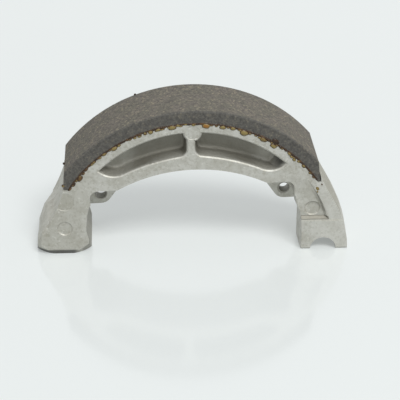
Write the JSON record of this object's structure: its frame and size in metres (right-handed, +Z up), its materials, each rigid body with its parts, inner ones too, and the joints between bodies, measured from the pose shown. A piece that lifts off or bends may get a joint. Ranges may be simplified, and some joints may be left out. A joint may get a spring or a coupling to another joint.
{
  "type": "brake shoe",
  "caption": "Bonded drum brake shoe: die-cast arch with pocketed web, spring lugs, a flared cam foot and a half-round anchor foot, carrying a curved friction lining.",
  "frame": {"origin": "centre of the overall box on the plane that both feet stand on; the drum's axis runs along Y, 2.2 mm below this point", "axes": "+X towards the anchor foot, +Y along the drum's axis towards the rear face, +Z up to the crown of the lining"},
  "size_m": [0.0989, 0.0228, 0.0478],
  "materials": {
    "cast_aluminium": "satin, as cast",
    "friction_material": "matt, ground, with fine pale flecks",
    "cured_adhesive": "glossy amber to dark brown"
  },
  "bodies": {
    "root": {"shoe_casting": "cast_aluminium", "friction_lining": "friction_material", "bond_line": "cured_adhesive"}
  },
  "joints": []
}
